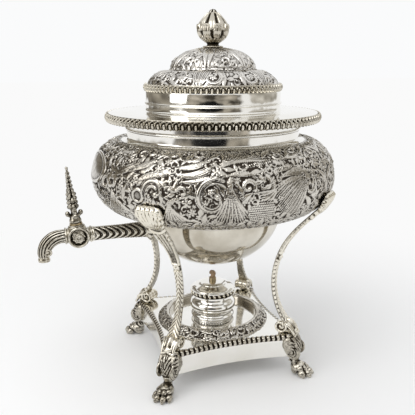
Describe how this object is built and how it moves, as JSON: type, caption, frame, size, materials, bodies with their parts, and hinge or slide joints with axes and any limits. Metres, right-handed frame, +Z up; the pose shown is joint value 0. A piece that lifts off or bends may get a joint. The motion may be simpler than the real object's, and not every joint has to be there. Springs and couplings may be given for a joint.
{
  "type": "tea urn",
  "caption": "Footed hot-water urn with a bulging chased belly, domed lid, plug tap and bent spout, held by curved strap legs over a spirit lamp on a plinth.",
  "frame": {"origin": "on the floor under the middle of the vessel, amid the four feet", "axes": "+Z up along the vessel's axis, the tap points along -Y (the front), +X to the right seen from the front"},
  "size_m": [0.26, 0.3198, 0.3861],
  "materials": {
    "polished_silver": "mirror-polished silver plate, with soft handling haze",
    "chased_silver": "chased and embossed silver plate, dark in the hollows",
    "cast_silver": "cast and burnished silver plate, yellowed in the recesses",
    "plug_brass": "ground brass, satin",
    "wick_cotton": "twisted cotton, browned by the flame"
  },
  "bodies": {
    "urn": {"plinth_plate": "polished_silver", "plinth_skirt": "cast_silver", "plinth_border": "chased_silver", "foot_front_left": "cast_silver", "foot_front_right": "cast_silver", "foot_back_left": "cast_silver", "foot_back_right": "cast_silver", "strap_front_left": "cast_silver", "strap_front_right": "cast_silver", "strap_back_left": "cast_silver", "strap_back_right": "cast_silver", "lamp_well_ring": "chased_silver", "vessel_bowl": "polished_silver", "vessel_shoulder": "polished_silver", "vessel_belly": "chased_silver", "vessel_neck": "polished_silver", "rim_plate": "polished_silver", "rim_border": "chased_silver", "lid_collar": "polished_silver", "tap_pipe": "polished_silver", "tap_barrel": "polished_silver", "tap_spout": "polished_silver"},
    "lid": {"lid_dome": "polished_silver", "lid_border": "chased_silver", "lid_bezel": "polished_silver", "lid_crown": "polished_silver", "finial_bud": "cast_silver", "finial_nut": "cast_silver"},
    "tap_key": {"tap_plug": "plug_brass", "tap_handle": "cast_silver", "tap_nut": "cast_silver"},
    "lamp": {"lamp_foot": "polished_silver", "lamp_reservoir": "polished_silver"},
    "burner": {"burner_cover": "polished_silver", "wick_tube": "polished_silver", "wick": "wick_cotton"}
  },
  "joints": [
    {"name": "lid_lift", "type": "slide", "parent": "urn", "child": "lid", "axis": [0, 0, 1], "range_m": [0, 0.04]},
    {"name": "tap_turn", "type": "hinge", "parent": "urn", "child": "tap_key", "pos_m": [0, -0.148, 0.1588], "axis": [0, -0.1045, 0.9945], "range_deg": [0, 90]},
    {"name": "lamp_lift", "type": "slide", "parent": "urn", "child": "lamp", "axis": [0, 0, 1], "range_m": [0, 0.009]},
    {"name": "burner_lift", "type": "slide", "parent": "lamp", "child": "burner", "axis": [0, 0, 1], "range_m": [0, 0.0025]}
  ]
}
